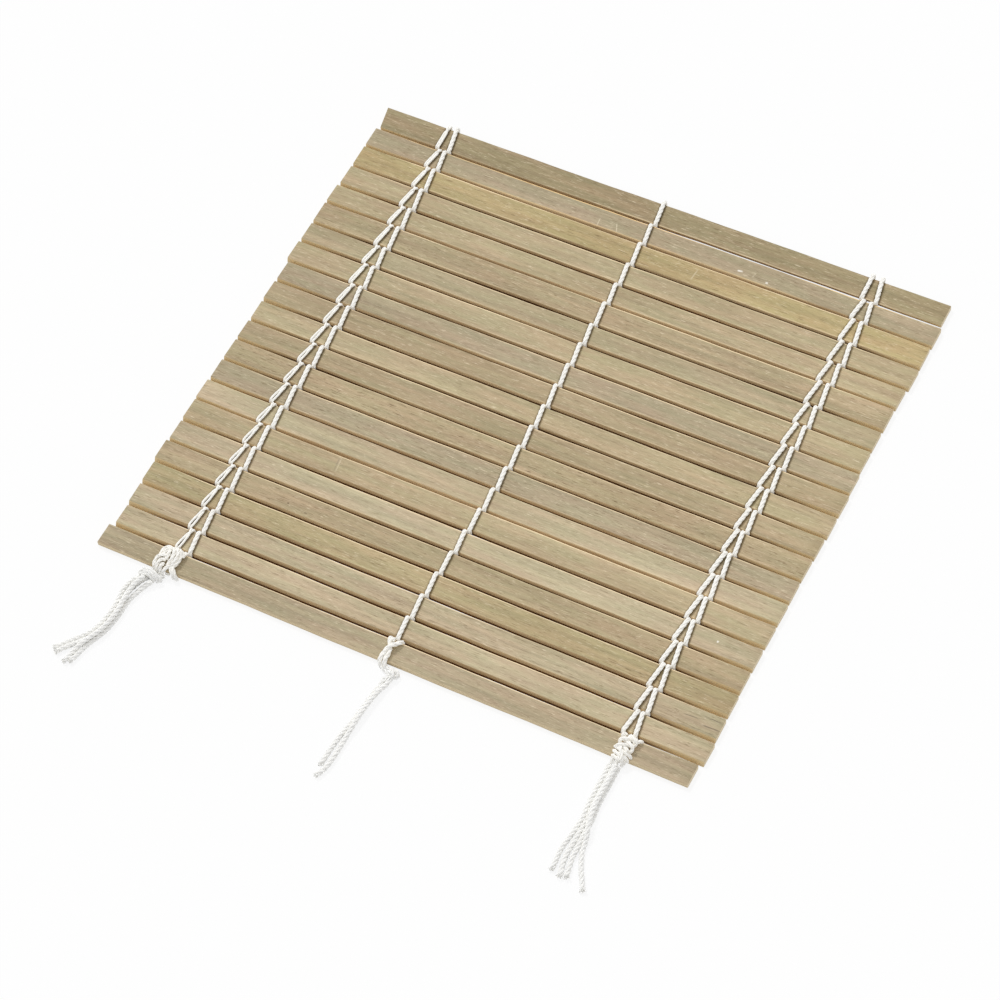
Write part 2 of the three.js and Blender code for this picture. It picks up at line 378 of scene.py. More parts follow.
# Tails: the free ends of the strings, laid on the floor in front of the knots
tailRope = {
    "radius": 0.54,
    "wide": 0.46,
    "high": 0.35,
    "pitch": 6.2,
    "step": 0.36,
    "rest": 0.9,
    "tuft": 0.3,
    "loose": 2.5,
    "taper": 0.2,
    "taperFrom": 0.97,
}
tailOrigins = {"left": -88.3, "middle": -0.6, "right": 92.2}
frontEdge = slatBoxes[-1][0][1] / mm
tailRoutes = {
    ("left", 1): [
        (-9.3, -6.8, 1.8), (-11.2, -8.7, 1.2), (-12.3, -11.1), (-12.6, -13.9), (-12.3, -16.9),
        (-12, -19.9), (-11.9, -22.9), (-12.1, -25.9), (-12.5, -28.9), (-13.3, -31.9),
        (-14.7, -34.8), (-16.8, -37.6), (-18.9, -40.3), (-20.9, -42.7), (-22.8, -45),
    ],
    ("left", 2): [
        (-7.4, -6.8, 1.8), (-8.8, -8.9, 1.2), (-9.8, -11.3), (-10.4, -13.9), (-10.5, -16.9),
        (-10.25, -19.9), (-10.15, -22.9), (-10.35, -25.9), (-10.75, -28.9), (-11.5, -32.2),
        (-13, -35.7), (-15.2, -38.6), (-17.5, -41.3), (-19.6, -43.8), (-21.4, -46.3),
    ],
    ("left", 3): [
        (-4.3, -6.8, 1.8), (-5.7, -8.9, 1.2), (-6.8, -11.3), (-7.6, -13.9), (-8.3, -16.9),
        (-8.5, -19.9), (-8.4, -22.9), (-8.6, -25.9), (-9, -28.9), (-9.65, -32),
        (-10.85, -35.2), (-12.2, -38.5), (-13.1, -41.7), (-13.8, -44.7), (-14.6, -47.5),
    ],
    ("left", 4): [
        (-7.3, -6.8, 3.7), (-8.6, -9, 3), (-9.4, -11.3, 2.7), (-9.6, -13.9, 2.6),
        (-9.5, -16.9, 2.55), (-9.4, -19.9, 2.4), (-9.3, -22.9, 2.35), (-9.5, -25.9, 2.35),
        (-9.9, -28.9, 2.35), (-10.6, -32, 2.35), (-11.9, -35.2, 2.35), (-13.5, -38.5, 2.25),
        (-14.9, -41.6, 1.7), (-15.7, -44.6, 1), (-16.6, -48.5),
    ],
    ("middle", 1): [
        (4.4, -5.8, 1.3), (4.2, -8, 0.9), (3.8, -10.6), (3.4, -13.8), (3.05, -17),
        (2.75, -20.1), (2.5, -23.2), (2.25, -26.1), (1.8, -28.9), (1.3, -31.7),
        (0.95, -34.5), (0.75, -37.3), (0.6, -40.1), (0.5, -42.9), (0.35, -45.4),
    ],
    ("middle", 2): [
        (6.3, -5.8, 1.3), (6, -8, 1.1), (5.3, -10.6, 1.6), (4.7, -13.8, 1.95), (4.25, -17, 2.05),
        (3.95, -20.1, 2.05), (3.75, -23.2, 2), (3.6, -26.1, 1.85), (3.45, -28.9, 1.5), (3.35, -31.9, 1.1),
        (3.3, -35.1), (3.3, -38.4), (3.2, -41.6), (2.9, -44.8), (2.1, -47.7), (1, -50.1),
    ],
    ("right", 1): [
        (-0.92, -2.7, 1), (-1.05, -5.4), (-0.85, -8.5), (-0.85, -11.7), (-0.85, -14.9),
        (-0.8, -18.1), (-0.5, -21.3), (-0.1, -24.5), (-0.2, -27.7), (-0.5, -30.6),
        (-0.8, -33.6), (-1.2, -36.8), (-1.35, -40), (-1.05, -43.3), (-0.7, -46.9),
    ],
    ("right", 2): [
        (2.52, -2.7, 1), (2.4, -5.4), (2.55, -8.5), (2.55, -11.7), (2.55, -14.9),
        (2.6, -18.1), (2.9, -21.3), (3.3, -24.5), (3.22, -27.7), (3.2, -30.6),
        (3.3, -33.6), (3.55, -36.8), (3.6, -40), (4.2, -43.3), (4.7, -45.6), (5.1, -47.5),
    ],
    ("right", 3): [
        (0.8, -2.7, 1), (0.66, -5.4), (0.85, -8.5), (0.85, -11.7), (0.85, -14.9),
        (0.9, -18.1), (1.2, -21.3), (1.6, -24.5), (1.5, -27.7), (1.4, -30.6),
        (1.4, -33.6), (1.3, -36.8), (1.3, -40), (1.7, -43.3), (2.5, -46.4), (2.8, -48.2),
    ],
    ("right", 4): [
        (1.75, -2.7, 2.55), (1.7, -5.4, 2.4), (1.7, -8.5, 2.35), (1.7, -11.7, 2.35), (1.7, -14.9, 2.35),
        (1.75, -18.1, 2.35), (2.1, -21.3, 2.4), (2.7, -24.5, 2.45), (3.5, -27.7, 2.5), (4.5, -30.6, 2),
        (5.1, -33.6, 1), (5.7, -36.8), (7, -40), (8.6, -43.3), (10.5, -46.5), (12.4, -49.7),
    ],
}
frayLook = {
    "fibres": 10,
    "radius": 0.13,
    "length": (0.8, 1.5),
    "start": (0.1, 0.33),
    "back": 0.8,
    "spread": 0.28,
    "rise": 0.25,
    "clear": 0.03,
    "lead": 6,
    "steps": 5,
}


def frayLines(plies, fray, dice):
    lines = []
    for ply in plies:
        tip = ply[-1]
        way = (ply[-1] - ply[-fray["lead"]]).normalized()
        side = way.cross(Vector((0, 0, 1))).normalized()
        for number in range(fray["fibres"]):
            angle = dice.uniform(0, 2 * math.pi)
            turned = side * math.cos(angle) + Vector((0, 0, math.sin(angle)))
            start = tip - way * fray["back"] + turned * dice.uniform(*fray["start"])
            reach = dice.uniform(*fray["length"])
            upward = Vector((0, 0, math.sin(angle) * fray["rise"]))
            out = side * math.cos(angle) * fray["spread"] + upward
            line = []
            for step in range(fray["steps"] + 1):
                t = step / fray["steps"]
                point = start + way * reach * t + out * reach * t * t
                point.z = max(point.z, fray["radius"] + fray["clear"])
                line.append(point)
            lines.append(line)
    return lines


def tailTaper(share):
    return 1 - tailRope["taper"] * smooth(tailRope["taperFrom"], 1, share)


def joined(name, objects):
    bpy.ops.object.select_all(action="DESELECT")
    for obj in objects:
        obj.select_set(True)
    bpy.context.view_layer.objects.active = objects[0]
    bpy.ops.object.join()
    objects[0].name = name
    return objects[0]


tails = {}
tailPaths = {}
for (side, number), route in tailRoutes.items():
    dice = random.Random(seeds["tails"] * list(tailOrigins).index(side) + number)
    points = []
    for x, y, *height in route:
        points.append((x + tailOrigins[side], y + frontEdge, *(height or [tailRope["rest"]])))
    path = catmull(points, tailRope["step"])
    plies = pliesOf(path, carriedSides(path), tailRope, dice.uniform(*phases))
    name = f"rope_tail_{side}_{number}"
    rope = sweep(name, plies, tailRope["radius"], tailTaper)
    fray = sweep(name + "_fray", frayLines(plies, frayLook, dice), frayLook["radius"])
    rope = joined(name, [rope, fray])
    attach(rope, "slat_22")
    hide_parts(f"tail_{side}_{number}")
    tails[(side, number)] = rope
    tailPaths[(side, number)] = [point * mm for point in path]
stageNote("tails laid")


# Lashings: five strings, each with two legs twined over and under the slats
matSkew = 0.007
lashingRope = {"radius": 0.52, "wide": 0.38, "high": 0.21, "pitch": 6.8, "step": 0.36}
splitRope = {
    "share": 0.88,
    "wide": 0.4,
    "high": 0.28,
    "plies": 2,
    "crossed": 0.36,
    "opens": (0.3, 0.72),
    "closes": (0.84, 1),
}  # two plies that cross once on each slat and part beyond the crossing
# Heights over and under a slat, how far off and on it the string bends, its bow and its pressed underside
lashing = {
    "lean": 1.35,
    "over": 0.68,
    "climb": 0.15,
    "settle": 0.1,
    "under": 0.55,
    "dip": 0.8,
    "sink": 0.05,
    "out": 0.5,
    "in": 0.9,
    "aside": 0.3,
    "turnOut": 0.85,
    "turnIn": 0.3,
    "foldIn": 0.05,
    "bow": 0.35,
    "straight": 0.65,
    "bowInset": 0.3,
    "pressed": 0.62,
    "pressUpTo": (0.7, 1.4),
    "lowest": 0.02,
    "phaseStep": 1.3,
    "blendIn": 0.3,
}
strings = {
    "left_outer": {
        "way": -1.25,
        "fold": -92.6,
        "open": (0.08, 0.82),
        "rises": ((0, -90.6), (0.25, -90.2), (0.5, -90), (0.7, -90.5), (0.82, -90.5), (1, -89.5)),
    },
    "left_inner": {
        "way": 1,
        "fold": -89.2,
        "rises": ((0, -88.5), (0.25, -87.3), (0.45, -86.5), (0.6, -86.9), (0.75, -87.2), (1, -87.1)),
    },
    "middle": {
        "way": 1,
        "fold": 1.2,
        "rises": ((0, 1.3), (0.25, 1.6), (0.5, 2.2), (0.65, 2.1), (0.75, 1.2), (0.85, 0.1), (1, -0.8)),
    },
    "right_inner": {
        "way": -1,
        "fold": 88.3,
        "rises": ((0, 89.8), (0.25, 90.5), (0.5, 90.8), (0.75, 91), (1, 91.4)),
    },
    "right_outer": {
        "way": 1,
        "fold": 92.3,
        "rises": ((0, 92.9), (0.2, 93.7), (0.3, 93.8), (0.45, 93.2), (0.6, 92.7), (0.75, 92.9), (1, 93.4)),
    },
}
farEdges = [high[1] / mm for low, high in slatBoxes]
nearEdges = [low[1] / mm for low, high in slatBoxes]
slatTop = slatBoxes[1][1][2] / mm
slatGap = nearEdges[0] - farEdges[1]
bends = [edge + slatGap / 2 for edge in farEdges] + [nearEdges[-1] - slatGap / 2]
matDepth = farEdges[0] - nearEdges[-1]


def riseAt(string, y):
    share = min(max(0.5 - y / matDepth, 0), 1)
    stops = string["rises"]
    for (low, before), (high, after) in zip(stops, stops[1:]):
        if share <= high:
            return lerp(before, after, smooth(low, high, share))
    return stops[-1][1]


def diveAt(string, y):
    return riseAt(string, y) + string["way"] * lashing["lean"]


def skewed(x, y, z):
    return Vector((x, y + matSkew * x, z))


def onSlat(point):
    y = min(max(point.y - matSkew * point.x, bends[-1]), bends[0])
    index = max(i for i in range(slatCount) if bends[i] >= y)
    return index, (bends[index] - y) / (bends[index] - bends[index + 1])


def openAt(string, point):
    if point.z < slatTop:
        return 0
    index, share = onSlat(point)
    opened = lerp(*string["open"], index / slatCount)
    return opened * smooth(*splitRope["opens"], share) * (1 - smooth(*splitRope["closes"], share))


def crossAt(point):
    index, share = onSlat(point)
    return math.pi * (index + smooth(0, splitRope["crossed"], share))


def passPoints(string, index, over):
    far, near = bends[index], bends[index + 1]
    farEdge, nearEdge = farEdges[index], nearEdges[index]
    farX = riseAt(string, far) if over else diveAt(string, far)
    nearX = diveAt(string, near) if over else riseAt(string, near)
    if index == 0:
        farX = string["fold"]
    if over:
        top = slatTop + lashing["over"]
        heights = (slatTop + lashing["climb"], top - lashing["settle"], top)
    else:
        low = lashing["under"]
        heights = (lashing["dip"], low + lashing["sink"], low)
    turnOut = 0 if index else lashing["turnOut"]
    aside = -lashing["aside"] if over else lashing["aside"]
    spots = [(far + aside + turnOut, slatTop / 2)]
    farReaches = (lashing["out"] + turnOut, lashing["turnIn"] * turnOut, -lashing["in"])
    nearReaches = (lashing["in"], 0, -lashing["out"])
    for reach, height in zip(farReaches, heights):
        spots.append((farEdge + reach, height))
    for reach, height in zip(nearReaches, reversed(heights)):
        spots.append((nearEdge + reach, height))
    points = []
    for y, z in spots:
        bow = smooth(farEdge + lashing["bowInset"], nearEdge - lashing["bowInset"], y)
        share = bow * lashing["bow"] + lashing["straight"] * (far - y) / (far - near)
        points.append(skewed(lerp(farX, nearX, share), y, z))
    return points


def legPath(string, startsOver):
    points = []
    for index in range(slatCount):
        over = (index % 2 == 0) == startsOver
        points += passPoints(string, index, over)
    if over:
        return points[:-3]  # the knot takes over here
    last = points[-1]
    points.append(Vector((last.x, bends[-1] + matSkew * last.x, slatTop / 2)))
    return points


def pressLow(obj):
    for vertex in obj.data.vertices:
        z = vertex.co.z / mm
        press = 1 - smooth(*lashing["pressUpTo"], z)
        vertex.co.z = max(z * (1 - (1 - lashing["pressed"]) * press), lashing["lowest"]) * mm


def splitLine(points, cuts):
    sections = [[] for cut in range(len(cuts) + 1)]
    place = 0
    for point in points:
        sections[place].append(point)
        while place < len(cuts) and point.y < cuts[place] + matSkew * point.x:
            place += 1
            sections[place].append(point)
    return sections


middles = [(far + near) / 2 for far, near in zip(farEdges, nearEdges)]
sections = [[] for section in range(slatCount + 1)]
shares = [[] for section in range(slatCount + 1)]
for number, string in enumerate(strings.values()):
    overLeg = legPath(string, True)
    underLeg = legPath(string, False)
    farX = (overLeg[0].x + underLeg[0].x) / 2
    turn = [Vector((farX, overLeg[0].y - lashing["foldIn"], slatTop / 2))]
    whole = list(reversed(overLeg[1:])) + turn + underLeg[1:]
    path = catmull(whole, lashingRope["step"])
    sides = acrossSides(path)
    if "open" in string:
        plies = pliesOf(path, sides, splitRope, 0, lambda point: openAt(string, point), crossAt)
    else:
        plies = pliesOf(path, sides, lashingRope, number * lashing["phaseStep"])
    peak = max(range(len(path)), key=lambda i: path[i].y - matSkew * path[i].x)
    for ply in plies:
        for half in (list(reversed(ply[: peak + 1])), ply[peak:]):
            for place, section in enumerate(splitLine(half, middles)):
                if len(section) > 1:
                    sections[place].append(section)
                    shares[place].append(splitRope["share"] if "open" in string else 1)

stringNodes = [f"string_{name}" for name in strings]
for number, section in enumerate(sections):
    if not section:
        continue
    piece = sweep(f"lashing_{number:02d}", section, lashingRope["radius"], shares=shares[number])
    pressLow(piece)
    if number == 0:
        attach(piece, slatNames[0])
        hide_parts(*stringNodes)
    elif number == slatCount:
        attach(piece, slatNames[-1])
    else:
        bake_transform(piece)
stageNote("lashings twined")


# Knots: strands over the front slat, each point with its height above the slats' tops
knotRope = {"radius": 0.42, "wide": 0.32, "high": 0.3, "pitch": 7, "step": 0.34}
# The middle knot is only two strands, so they are stouter
knotStouter = {"middle": {"radius": 0.5, "wide": 0.4, "high": 0.36}}
knotStrands = {
    "left": [
        [(-91.8, -102.65, -0.6), (-92.6, -103.1, 0.7), (-94, -103.3, 1), (-95, -104.6, 1.1),
         (-95.2, -106.2, 1.1), (-95, -107.6, 1)],
        [(-91.2, -102.85, 0.2), (-91.9, -103.5, 1.4), (-93.1, -104.4, 1.8), (-93.7, -105.8, 1.8),
         (-93.6, -107, 1.5)],
        [(-91.9, -107.5, 2.3), (-93.5, -107.6, 2.3), (-95.1, -108.5, 1.6), (-95.6, -110, 1),
         (-95.4, -111.6, 0.5), (-94.9, -112.6, -0.4), (-94.4, -113.3, -1.1)],
        [(-91.6, -109.1, 2.1), (-92.9, -109.3, 2.1), (-93.8, -110.4, 1.6), (-94, -111.7, 1),
         (-93.6, -112.8, 0), (-93.2, -113.5, -1)],
        [(-91.3, -110.7, 1.7), (-91.9, -111, 1.8), (-92.3, -111.8, 1.4), (-92.2, -112.8, 0.4),
         (-91.9, -113.6, -0.8)],
        [(-91.6, -103.2, 1.2), (-90.6, -104.4, 2.3), (-89.9, -106, 2.7), (-89.7, -107.8, 2.5),
         (-90, -109.4, 1.9), (-90.4, -110.4, 1.2)],
        [(-90.6, -102.8, 1), (-89.5, -103.8, 2.1), (-88.5, -105.4, 2.4), (-88.2, -107.2, 2.3),
         (-88.6, -109, 1.8), (-89.2, -110.2, 1.1)],
        [(-89.6, -102.6, 0.6), (-88.4, -103.6, 1.5), (-87.5, -105.2, 1.6), (-87.2, -107, 1.5),
         (-87.5, -108.8, 1.4), (-88.2, -110.2, 1)],
        [(-89.4, -110.3, 1.4), (-89.8, -111.5, 1.7), (-90.5, -112.5, 1), (-90.9, -113.3, -0.1),
         (-91.1, -114, -1.1)],
        [(-92.4, -104.6, 1.6), (-91.9, -105.8, 2.4), (-91.7, -107.2, 2.5), (-91.5, -108.8, 2)],
        [(-88.6, -102.75, -0.5), (-88.5, -103.2, 0.9), (-87.9, -103.8, 1.6), (-87.1, -104.4, 1.3),
         (-86.7, -105.2, 0.9)],
        [(-88.6, -109.6, 1), (-87.6, -110.9, 1.2), (-86.6, -112, 0.8), (-85.7, -112.8, 0),
         (-85.1, -113.2, -0.8), (-84.9, -113.3, -1.3)],
        [(-89.4, -109.9, 0.9), (-88.5, -111.2, 1), (-87.5, -112.3, 0.6), (-86.6, -113, -0.2),
         (-86, -113.4, -1)],
        [(-94.5, -105.5, 0.9), (-92, -106, 1.2), (-89.5, -106.5, 1.2), (-87.3, -107, 0.9)],
        [(-90.6, -108.2, 1), (-89.5, -108.3, 1.1), (-87, -108.6, 0.9)],
        [(-92.5, -103.9, 0.8), (-90.5, -104.2, 0.9), (-88, -104.6, 0.8)],
    ],
    "middle": [
        [(-1.9, -101.9, -0.6), (-1.6, -102.9, 0.9), (-0.9, -104.4, 1), (-0.1, -105.8, 1.1), (0.6, -107.4, 1),
         (0.9, -109.2, 0.95), (0.8, -110.9, 0.9), (1.1, -112.2, 0.2), (1.8, -113, -0.7), (3.2, -113.5, -0.9),
         (5.2, -113.4, -0.6), (6.8, -113.6, -0.8), (7.4, -114.4, -1.1), (6.8, -115.3, -1.2),
         (5.3, -115.5, -0.9), (4.2, -116.3, -0.9)],
        [(2.9, -101.9, -0.6), (2.6, -102.9, 0.9), (1.7, -104.2, 1.3), (0.6, -105.6, 1.9), (-0.4, -107.2, 1.5),
         (-0.9, -109.2, 1), (-1, -110.9, 0.9), (-0.9, -112.1, 0.2), (-0.4, -112.9, -0.8), (0.5, -113.5, -1.2),
         (2, -114, -1.3), (3.6, -114.6, -1), (5.3, -114.6, 0.2), (6.2, -115.4, 0), (5.9, -116.6, -0.9)],
    ],
    "right": [
        [(93.6, -103.3, 0.8), (93.8, -105.5, 0.8), (93.6, -107.6, 0.8), (93.4, -109.6, 0.8),
         (93.3, -111.5, 0.8), (93.3, -112.8, -0.3), (93.3, -113.6, -1.1)],
        [(91.2, -101.8, -0.6), (91.4, -102.5, 0.8), (91.9, -103.7, 1.2), (92.7, -104.6, 1.3)],
        [(97.9, -101.9, -0.6), (97.6, -102.5, 0.9), (96.7, -103.4, 1.3), (95.5, -104.2, 1.4)],
        [(94.3, -101.8, -0.4), (94.5, -102.5, 1), (94.2, -103.6, 1), (93.2, -104.6, 1)],
        [(90.3, -107.3, -0.2), (90.6, -107.7, 0.9), (92, -108.3, 1.6), (93.8, -108.9, 1.8),
         (95.4, -109.1, 1.4), (96.7, -109.1, 0.6), (97.1, -109.3, -0.3)],
        [(90.5, -109.1, -0.2), (90.9, -109.4, 0.8), (92.3, -110.1, 1.5), (93.9, -110.5, 1.6),
         (95.4, -110.6, 1.2), (96.4, -110.7, 0.4), (96.7, -110.9, -0.4)],
        [(91, -110.8, 0.1), (91.5, -111.2, 0.7), (92.7, -111.7, 1.1), (94.1, -111.9, 1.2), (95.4, -112, 0.8),
         (96.2, -112.1, 0)],
        [(92.2, -107.4, 1.8), (93.1, -108.8, 2.4), (94.2, -110.2, 2.2), (94.9, -111.5, 1.5),
         (95.1, -112.6, 0.2)],
        [(91.4, -111.4, 0.6), (91.6, -112.6, 0), (91.8, -113.3, -0.9)],
        [(95.9, -111.8, 0.6), (95.8, -112.5, 0), (95.4, -113.2, -0.8)],
    ],
}
braid = {
    "strands": 3,
    "from": -102.3,
    "to": -108.2,
    "pitch": 7.6,
    "centre": 93.9,
    "half": (2.9, 2.7),
    "rise": (1.5, 0.75),
    "steps": 24,
}
wrapStrands = [
    [(-89.8, -116.5, -1), (-90.8, -115.9, 0.1), (-92.6, -115.2, 0.9), (-95, -114.7, 1.1),
     (-97.4, -114.9, 0.7), (-98.6, -115.9, -0.2), (-98.6, -117, -0.9)],
    [(-90.6, -117.1, -1), (-91.8, -116.5, 0.3), (-93.4, -116, 1.1), (-95.4, -115.7, 1.2),
     (-97, -116.1, 0.6), (-97.8, -117.1, -0.3)],
    [(-91.8, -117.3, -0.8), (-93.2, -116.9, 0.3), (-94.8, -116.6, 0.8), (-96.2, -116.6, 0.6),
     (-97.2, -117.2, -0.1)],
    [(-92.6, -113.4, -1.2), (-94.5, -114.6, -0.9), (-96.4, -116.2, -0.9), (-97.4, -118, -0.9)],
    [(-91, -113.8, -1.2), (-92.4, -115.2, -0.9), (-94.4, -116.6, -0.9), (-95.6, -118, -0.9)],
    [(-90, -113.8, -1.2), (-90.9, -115.2, -0.9), (-92.2, -116.6, -0.9), (-93.2, -118.4, -0.9)],
]


def braidStrands(look):
    strands = []
    for number in range(look["strands"]):
        points = []
        for step in range(look["steps"] + 1):
            share = step / look["steps"]
            y = lerp(look["from"], look["to"], share)
            angle = 2 * math.pi * ((look["from"] - y) / look["pitch"] + number / look["strands"])
            x = look["centre"] + lerp(*look["half"], share) * math.sin(angle)
            base, swing = look["rise"]
            points.append((x, y, base + swing * math.sin(2 * angle)))
        strands.append(points)
    return strands


knotStrands["right"] += braidStrands(braid)


def ropeStrands(name, strands, rope, dice):
    plies = []
    for strand in strands:
        path = catmull([(x, y, slatTop + h) for x, y, h in strand], rope["step"])
        plies += pliesOf(path, carriedSides(path), rope, dice.uniform(*phases))
    return sweep(name, plies, rope["radius"])


for seed, (side, strands) in enumerate(knotStrands.items(), seeds["knots"]):
    rope = dict(knotRope, **knotStouter.get(side, {}))
    knot = ropeStrands(f"rope_knot_{side}", strands, rope, random.Random(seed))
    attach(knot, "slat_22")
    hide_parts(f"knot_{side}")
    if side == "middle":
        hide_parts("tail_knot_middle")
wrap = ropeStrands("rope_wrap_left", wrapStrands, knotRope, random.Random(seeds["wrap"]))
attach(wrap, "slat_22")
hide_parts("tail_knot_left")
for (side, number), rope in tails.items():
    path = tailPaths[(side, number)]
stageNote("knots tied")


# Bamboo: flat strips with fine lengthwise grain
bambooTones = {
    "olive": linear(165, 149, 118),
    "grey": linear(180, 165, 138),
    "honey": linear(187, 168, 126),
    "straw": linear(187, 171, 139),
    "tan": linear(180, 163, 132),
    "fawn": linear(183, 168, 138),
    "moss": linear(179, 163, 127),
    "pale": linear(192, 177, 148),
}
slatTones = [
    "olive", "grey", "honey", "straw", "straw", "tan", "fawn", "straw", "grey", "tan", "straw",
    "tan", "tan", "grey", "pale", "straw", "pale", "tan", "moss", "pale", "pale", "grey",
]
white = [1, 1, 1, 1]
bambooLook = {
    "lift": 1.035,
    "fleck": linear(112, 88, 58),
    "cream": linear(254, 238, 208),
    "edge": linear(210, 185, 144),
    "edgeDark": linear(179, 152, 113),
    # painted light: the side faces in the gaps are lighter towards the slat ends, where light gets into the
    # gaps
    "edgeLitAtGapEnds": linear(222, 200, 156),
    "edgeStops": (0.3, 0.65),
    # painted shade at the foot of the side faces in the gaps: the colour they darken towards
    "gapFootShade": (1, 0.45, 0.03),
    "turned": (0.45, 0.8),
    "gapEndsLit": (92, 114),
    "gapEndsLitShare": 0.9,
    # painted highlights along the slats' top edges, stronger on the far edge and none on the far edge of the
    # first slat; the second slat's far edge is brighter and warmer, painted light standing in for the light
    # showing through the first gap
    "rimHighlight": linear(255, 231, 190),
    "firstRimHighlight": linear(255, 218, 158),
    "farRims": {0: 0, 1: 1.2},
    "farRimFrom": (0.435, 0.475),
    "nearRimFrom": (0.42, 0.48),
    "nearRim": (0.5, 0.2),
    "rimBreaks": (0.25, 0.6),
    "front": linear(214, 196, 162),
    "end": linear(226, 210, 180),
    "coatFrom": (0.2, 0.8),
    "coat": 0.25,
    "bump": 0.35,
    "shader": {"Coat Roughness": 0.5, "Roughness": 0.62, "Specular IOR Level": 0.1},
}
grains = {
    "streaks": {"along": 20, "across": 520, "detail": 5, "roughness": 0.6},
    "fine": {"along": 260, "across": 4600, "detail": 4, "roughness": 0.65},
    "broad": {"along": 14, "across": 70, "detail": 2, "roughness": 0.5},
    "dashes": {"along": 230, "across": 2500, "detail": 3, "roughness": 0.6},
    "glints": {"along": 300, "across": 2900, "detail": 3, "roughness": 0.6},
    "casts": {"along": 40, "across": 260, "detail": 2, "roughness": 0.5},
}
grainShift = 50
streakStops = ((0.3, 0.84), (0.5, 1), (0.7, 1.15))
grainTints = {
    "fine": {"share": 0.7, "stops": [(0.3, [0.7, 0.68, 0.63, 1]), (0.52, white)]},
    "broad": {"share": 0.9, "stops": [(0.3, [0.9, 0.89, 0.85, 1]), (0.7, [1.04, 1.04, 1.03, 1])]},
    "casts": {
        "share": 1.0,
        "stops": [(0.35, [0.975, 1.02, 0.99, 1]), (0.65, [1.045, 0.995, 1.01, 1])],
    },
}
flecks = {"from": (0.55, 0.72), "least": 0.3, "more": 0.4, "plain": 0.3}
glints = {"from": (0.56, 0.74), "share": 0.5}
# Each gap: how far the sides close it, and its painted shade: the tone of the side face in it, the darkness
# at its foot and the heights over which that lifts
gapLooks = {
    "pale": {"close": 0.34, "tone": 0.88, "foot": 0.4, "rise": (0.2, 0.8)},
    "light": {"close": 0.27, "tone": 1.22, "foot": 0.4, "rise": (0.2, 0.8)},
    "even": {"close": 0.19, "tone": 1.04, "foot": 0.18, "rise": (0.75, 1.2)},
    "tight": {"close": 0.21, "tone": 0.97, "foot": 0.18, "rise": (0.9, 1.35)},
    "deep": {"close": 0.13, "tone": 0.92, "foot": 0.18, "rise": (0.8, 1.25)},
    "open": {"close": 0.07, "tone": 1.05, "foot": 0.18, "rise": (0.7, 1.15)},
    "dark": {"close": 0.02, "tone": 1.03, "foot": 0.2, "rise": (0.68, 1.1)},
}
gapKinds = [
    "pale", "light", "tight", "deep", "light", "deep", "even", "even", "even", "open", "tight",
    "tight", "even", "even", "light", "open", "even", "open", "dark", "dark", "dark",
]
slatLifts = {10: 1.05, 12: 1.06, 14: 1.085, 15: 1.05, 16: 1.03, 17: 1.03, 18: 1.04, 20: 1.06, 21: 1.02}
# Painted light and shade along the slats: the far slats are lighter towards their right ends, and the near
# slats darker towards both ends
endLight = {
    "left": {"way": -1, "reach": (40, 110), "tones": (1, 0.945), "slats": (4, 9)},
    "right": {"way": 1, "reach": (75, 108), "tones": (1.06, 0.96), "slats": (11, 16)},
}
speckled = {
    0: 0.8, 1: 0.7, 2: 0.8, 5: 0.9, 12: 1.5, 13: 0.9, 17: 0.8, 18: 0.8, 19: 0.8, 20: 0.7, 21: 0.6,
}
# Painted shade: the slats are darker beside the strings
stringShade = {"near": 0.8, "far": 1.9, "dark": [0.44, 0.41, 0.35, 1]}
markFade = {"breaks": (0.3, 0.5), "inner": 0.25, "outer": 0.55}
pale = linear(236, 222, 194)
bright = linear(250, 244, 232)
dark = linear(78, 58, 36)
grey = linear(150, 138, 118)
streak = linear(126, 114, 96)
# Each mark has its place, its size, its turn in degrees, its colour and how strong it is
marks = [
    ((-18, 93.7), (0.5, 4.2), 5, pale, 0.55),
    ((-10.4, 94), (0.5, 4.3), 24, pale, 0.6),
    ((41.6, 94.6), (2.4, 0.9), 8, bright, 0.9),
    ((47.3, 95), (0.6, 2.6), -10, pale, 0.4),
    ((53.1, 93.6), (1.2, 0.9), 0, bright, 0.9),
    ((26.5, 86), (0.7, 6), -6, pale, 0.4),
    ((-55.8, -45.8), (0.6, 6.6), 7, grey, 0.5),
    ((-55, -45.8), (0.5, 6.6), 7, pale, 0.35),
    ((104.2, -54.8), (0.8, 0.9), 0, bright, 1),
    ((-44.6, -70.6), (1.5, 1), 10, dark, 0.9),
    ((-63.8, -68), (1, 0.8), 0, dark, 0.6),
    ((-55.8, -69.2), (1.4, 0.9), 0, dark, 0.5),
    ((116.5, -83.7), (9, 0.5), -1, streak, 0.8),
    ((109, -85.5), (7, 0.45), 4, streak, 0.7),
    ((117, -87), (7, 0.5), 2, streak, 0.8),
    ((115, -89.2), (10, 0.5), 2, streak, 0.7),
]


def distanceFrom(tree, coords, at, direction):
    along = addNode(tree, "ShaderNodeVectorMath", operation="DOT_PRODUCT")
    along.inputs[1].default_value = (direction.x, direction.y, 0)
    tree.links.new(coords, along.inputs[0])
    start = Vector(at).to_2d().dot(direction) * mm
    return absolute(tree, math2(tree, "SUBTRACT", along.outputs["Value"], start))


def shadeBesideStrings(tree, coords, index):
    clear = 1.0
    for string in strings.values():
        points = passPoints(string, index, True)
        direction = (points[-1] - points[0]).to_2d().normalized()
        aside = Vector((direction.y, -direction.x))
        away = distanceFrom(tree, coords, points[0], aside)
        away = mask(tree, away, stringShade["near"] * mm, stringShade["far"] * mm)
        clear = math2(tree, "MULTIPLY", clear, away)
    return ramp(tree, clear, [(0, stringShade["dark"]), (1, white)])


